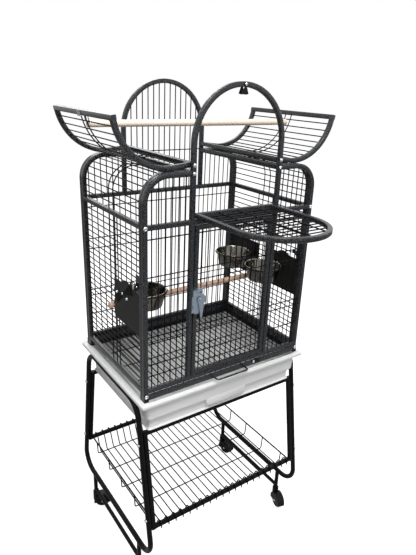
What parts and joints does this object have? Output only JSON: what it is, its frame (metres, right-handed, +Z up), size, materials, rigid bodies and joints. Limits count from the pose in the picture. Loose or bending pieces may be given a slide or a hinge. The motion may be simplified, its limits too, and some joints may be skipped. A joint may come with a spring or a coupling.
{
  "type": "bird cage on stand",
  "caption": "Bird cage of square tube and bar wire with an opening play top, swinging feeders and a pull-out grate, standing in a tray on a wheeled stand.",
  "frame": {"origin": "on the floor, under the middle of the cage", "axes": "+X to the right and +Y to the back as one faces the main door, +Z up"},
  "size_m": [0.6963, 0.7344, 1.4823],
  "materials": {
    "frame_coat": "hammertone charcoal powder coat",
    "stand_coat": "black powder coat",
    "zinc": "blue passivated zinc",
    "chrome": "bright plated",
    "stainless": "polished stainless",
    "beech": "smooth bare beech",
    "pine": "smooth bare dowel",
    "tray_plastic": "satin light grey plastic",
    "black_plastic": "matt black plastic",
    "grey_plastic": "grey tyre plastic"
  },
  "bodies": {
    "cage_and_stand": {"front_frame": "frame_coat", "front_arch": "frame_coat", "rear_frame": "frame_coat", "rear_arch": "frame_coat", "side_frame_left": "frame_coat", "side_frame_right": "frame_coat", "front_wires_left": "frame_coat", "front_wires_right": "frame_coat", "rear_wires": "frame_coat", "side_wires_left": "frame_coat", "side_wires_right": "frame_coat", "shoulder_wires_left": "frame_coat", "shoulder_wires_right": "frame_coat", "base_channel": "frame_coat", "corner_feet": "black_plastic", "frame_screws": "chrome", "hinge_pins": "chrome", "feeder_fittings": "frame_coat", "inner_perch": "pine", "tray": "tray_plastic", "stand_side_left": "stand_coat", "stand_side_right": "stand_coat", "ladder_front": "stand_coat", "ladder_rear": "stand_coat", "shelf": "stand_coat", "stand_bolts": "chrome"},
    "play_top_left": {"dome_frame_left": "frame_coat", "dome_wires_left": "frame_coat", "dome_hooks": "chrome"},
    "play_top_right": {"dome_frame_right": "frame_coat", "dome_wires_right": "frame_coat"},
    "upper_perch": {"top_perch": "beech"},
    "landing_door": {"landing_frame": "frame_coat", "landing_wires": "frame_coat"},
    "arch_turn_latch": {"arch_latch": "frame_coat"},
    "door_turn_latch": {"door_turn": "frame_coat"},
    "main_door": {"door_frame": "frame_coat", "door_wires": "frame_coat", "latch_case": "zinc"},
    "main_latch_lever": {"latch_lever": "zinc"},
    "feeder_left": {"feeder_door_left": "frame_coat"},
    "feeder_front": {"feeder_door_front": "frame_coat"},
    "feeder_rear": {"feeder_door_rear": "frame_coat"},
    "turn_latch_left": {"feeder_latch_left": "frame_coat"},
    "turn_latch_front": {"feeder_latch_front": "frame_coat"},
    "turn_latch_rear": {"feeder_latch_rear": "frame_coat"},
    "cup_left_body": {"cup_left": "stainless"},
    "cup_front_body": {"cup_front": "stainless"},
    "cup_rear_body": {"cup_rear": "stainless"},
    "grate_drawer": {"grate": "frame_coat", "grate_front": "frame_coat"},
    "grate_lock_plate": {"grate_lock": "black_plastic"},
    "swivel_front_left": {"caster_front_left": "black_plastic"},
    "roller_front_left": {"wheel_front_left": "grey_plastic"},
    "swivel_front_right": {"caster_front_right": "black_plastic"},
    "roller_front_right": {"wheel_front_right": "grey_plastic"},
    "swivel_rear_left": {"caster_rear_left": "black_plastic"},
    "roller_rear_left": {"wheel_rear_left": "grey_plastic"},
    "swivel_rear_right": {"caster_rear_right": "black_plastic"},
    "roller_rear_right": {"wheel_rear_right": "grey_plastic"}
  },
  "joints": [
    {"name": "play_top_left_fold", "type": "hinge", "parent": "cage_and_stand", "child": "play_top_left", "pos_m": [-0.1392, 0, 1.289], "axis": [0, 1, 0], "range_deg": [0, 96.8]},
    {"name": "play_top_right_fold", "type": "hinge", "parent": "cage_and_stand", "child": "play_top_right", "pos_m": [0.1392, 0, 1.289], "axis": [0, 1, 0], "range_deg": [-96.8, 0]},
    {"name": "upper_perch_lift", "type": "slide", "parent": "cage_and_stand", "child": "upper_perch", "axis": [0, 0, 1], "range_m": [0, 1.776]},
    {"name": "landing_door_fold", "type": "hinge", "parent": "cage_and_stand", "child": "landing_door", "pos_m": [0, -0.19065, 1.163], "axis": [-1, 0, 0], "range_deg": [0, 90]},
    {"name": "arch_latch_turn", "type": "hinge", "parent": "cage_and_stand", "child": "arch_turn_latch", "pos_m": [0, -0.197, 1.476], "axis": [0, 1, 0], "range_deg": [0, 90]},
    {"name": "main_door_swing", "type": "hinge", "parent": "cage_and_stand", "child": "main_door", "pos_m": [0.124, -0.19065, 0.917], "axis": [0, 0, 1], "range_deg": [0, 110]},
    {"name": "door_latch_turn", "type": "hinge", "parent": "cage_and_stand", "child": "door_turn_latch", "pos_m": [-0.1036, -0.197, 1.1502], "axis": [0, -1, 0], "range_deg": [0, 90]},
    {"name": "main_latch_turn", "type": "hinge", "parent": "main_door", "child": "main_latch_lever", "pos_m": [-0.112, -0.202, 0.935], "axis": [0, -1, 0], "range_deg": [0, 60]},
    {"name": "grate_pull", "type": "slide", "parent": "cage_and_stand", "child": "grate_drawer", "axis": [0, -1, 0], "range_m": [0, 0.33]},
    {"name": "grate_lock_turn", "type": "hinge", "parent": "grate_drawer", "child": "grate_lock_plate", "pos_m": [0.0963, -0.197, 0.681], "axis": [0, 1, 0], "range_deg": [-90, 0]},
    {"name": "feeder_left_swing", "type": "hinge", "parent": "cage_and_stand", "child": "feeder_left", "pos_m": [-0.27615, -0.022, 0.912], "axis": [0, 0, -1], "range_deg": [0, 90]},
    {"name": "feeder_left_latch_turn", "type": "hinge", "parent": "feeder_left", "child": "turn_latch_left", "pos_m": [-0.27855, -0.0817, 0.9424], "axis": [1, 0, 0], "range_deg": [-60, 60]},
    {"name": "cup_left_lift", "type": "slide", "parent": "feeder_left", "child": "cup_left_body", "axis": [0, 0, 1], "range_m": [0, 0.07]},
    {"name": "feeder_front_swing", "type": "hinge", "parent": "cage_and_stand", "child": "feeder_front", "pos_m": [0.27615, -0.022, 0.912], "axis": [0, 0, 1], "range_deg": [0, 90]},
    {"name": "feeder_front_latch_turn", "type": "hinge", "parent": "feeder_front", "child": "turn_latch_front", "pos_m": [0.27855, -0.0817, 0.9424], "axis": [1, 0, 0], "range_deg": [-60, 60]},
    {"name": "cup_front_lift", "type": "slide", "parent": "feeder_front", "child": "cup_front_body", "axis": [0, 0, 1], "range_m": [0, 0.07]},
    {"name": "feeder_rear_swing", "type": "hinge", "parent": "cage_and_stand", "child": "feeder_rear", "pos_m": [0.27615, 0.022, 0.912], "axis": [0, 0, -1], "range_deg": [0, 90]},
    {"name": "feeder_rear_latch_turn", "type": "hinge", "parent": "feeder_rear", "child": "turn_latch_rear", "pos_m": [0.27855, 0.0817, 0.9424], "axis": [1, 0, 0], "range_deg": [-60, 60]},
    {"name": "cup_rear_lift", "type": "slide", "parent": "feeder_rear", "child": "cup_rear_body", "axis": [0, 0, 1], "range_m": [0, 0.07]},
    {"name": "swivel_front_left_turn", "type": "hinge", "parent": "cage_and_stand", "child": "swivel_front_left", "pos_m": [-0.287, -0.17, 0.06], "axis": [0, 0, 1], "continuous": true},
    {"name": "wheel_front_left_roll", "type": "hinge", "parent": "swivel_front_left", "child": "roller_front_left", "pos_m": [-0.28318, -0.19167, 0.025], "axis": [0.9848, 0.1736, 0], "continuous": true},
    {"name": "swivel_front_right_turn", "type": "hinge", "parent": "cage_and_stand", "child": "swivel_front_right", "pos_m": [0.287, -0.17, 0.06], "axis": [0, 0, 1], "continuous": true},
    {"name": "wheel_front_right_roll", "type": "hinge", "parent": "swivel_front_right", "child": "roller_front_right", "pos_m": [0.28131, -0.19125, 0.025], "axis": [0.9659, -0.2588, 0], "continuous": true},
    {"name": "swivel_rear_left_turn", "type": "hinge", "parent": "cage_and_stand", "child": "swivel_rear_left", "pos_m": [-0.287, 0.17, 0.06], "axis": [0, 0, 1], "continuous": true},
    {"name": "wheel_rear_left_roll", "type": "hinge", "parent": "swivel_rear_left", "child": "roller_rear_left", "pos_m": [-0.2669, 0.16105, 0.025], "axis": [0.4067, 0.9135, 0], "continuous": true},
    {"name": "swivel_rear_right_turn", "type": "hinge", "parent": "cage_and_stand", "child": "swivel_rear_right", "pos_m": [0.287, 0.17, 0.06], "axis": [0, 0, 1], "continuous": true},
    {"name": "wheel_rear_right_roll", "type": "hinge", "parent": "swivel_rear_right", "child": "roller_rear_right", "pos_m": [0.29195, 0.14856, 0.025], "axis": [0.9744, 0.225, 0], "continuous": true}
  ],
  "couplings": [
    {"joint": "play_top_right_fold", "follows": "play_top_left_fold", "ratio": -1},
    {"joint": "upper_perch_lift", "follows": "play_top_left_fold", "m_per_rad": 1.05},
    {"joint": "arch_latch_turn", "follows": "landing_door_fold", "ratio": 1}
  ]
}
